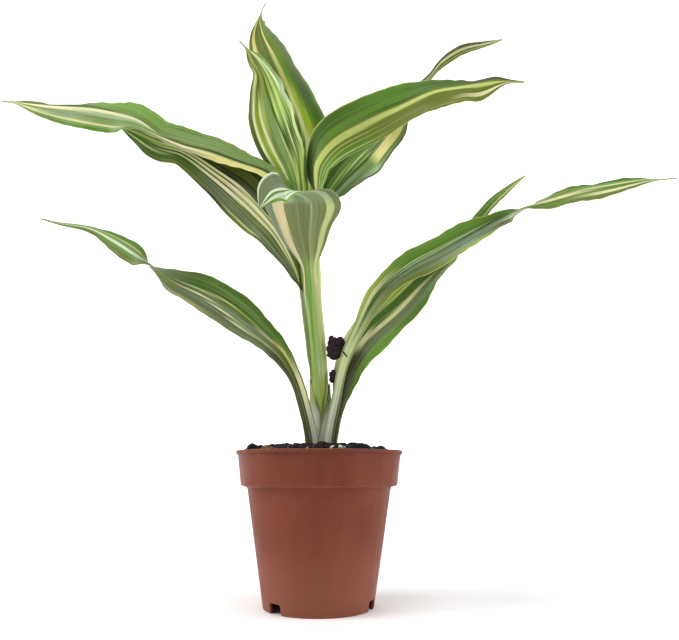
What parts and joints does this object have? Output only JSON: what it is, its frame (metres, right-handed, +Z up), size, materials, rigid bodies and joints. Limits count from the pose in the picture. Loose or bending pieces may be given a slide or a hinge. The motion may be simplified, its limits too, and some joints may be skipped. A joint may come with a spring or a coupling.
{
  "type": "potted lucky bamboo",
  "caption": "Lucky bamboo in a round tapered plastic nursery pot: an upright cane in dark soil, with long striped leaves arching to both sides.",
  "frame": {"origin": "centre of the pot's foot, on the surface that it stands on", "axes": "+X to the right, along the spread of the leaves; -Y to the front; +Z up the cane"},
  "size_m": [0.4522, 0.1019, 0.4272],
  "materials": {
    "terracotta_plastic": "moulded terracotta-brown plastic, matte to satin",
    "dark_peat": "moist dark peat, crumbly and matte",
    "clump_peat": "moist dark peat, crumbly and matte",
    "cane_green": "green cane wrapped in old leaf sheaths, satin",
    "leaf_a_green": "living leaf blade, green with cream stripes along it, satin",
    "leaf_a2_green": "living leaf blade, green with cream stripes along it, satin",
    "leaf_b_green": "living leaf blade, green with cream stripes along it, satin",
    "leaf_b2_green": "living leaf blade, green with cream stripes along it, satin",
    "leaf_c1_green": "living leaf blade, green with cream stripes along it, satin",
    "leaf_c2_green": "living leaf blade, green with cream stripes along it, satin",
    "leaf_d_green": "living leaf blade, green with cream stripes along it, satin",
    "leaf_e_green": "living leaf blade, green with cream stripes along it, satin",
    "leaf_f1_green": "living leaf blade, green with cream stripes along it, satin",
    "leaf_f2_green": "living leaf blade, green with cream stripes along it, satin"
  },
  "bodies": {
    "root": {"pot": "terracotta_plastic", "soil": "dark_peat", "cane": "cane_green", "leaf_a": "leaf_a_green", "leaf_a2": "leaf_a2_green", "leaf_b": "leaf_b_green", "leaf_b2": "leaf_b2_green", "leaf_c1": "leaf_c1_green", "leaf_c2": "leaf_c2_green", "leaf_d": "leaf_d_green", "leaf_e": "leaf_e_green", "leaf_f1": "leaf_f1_green", "leaf_f2": "leaf_f2_green", "soil_clump_upper": "clump_peat", "soil_clump_lower": "clump_peat"}
  },
  "joints": []
}
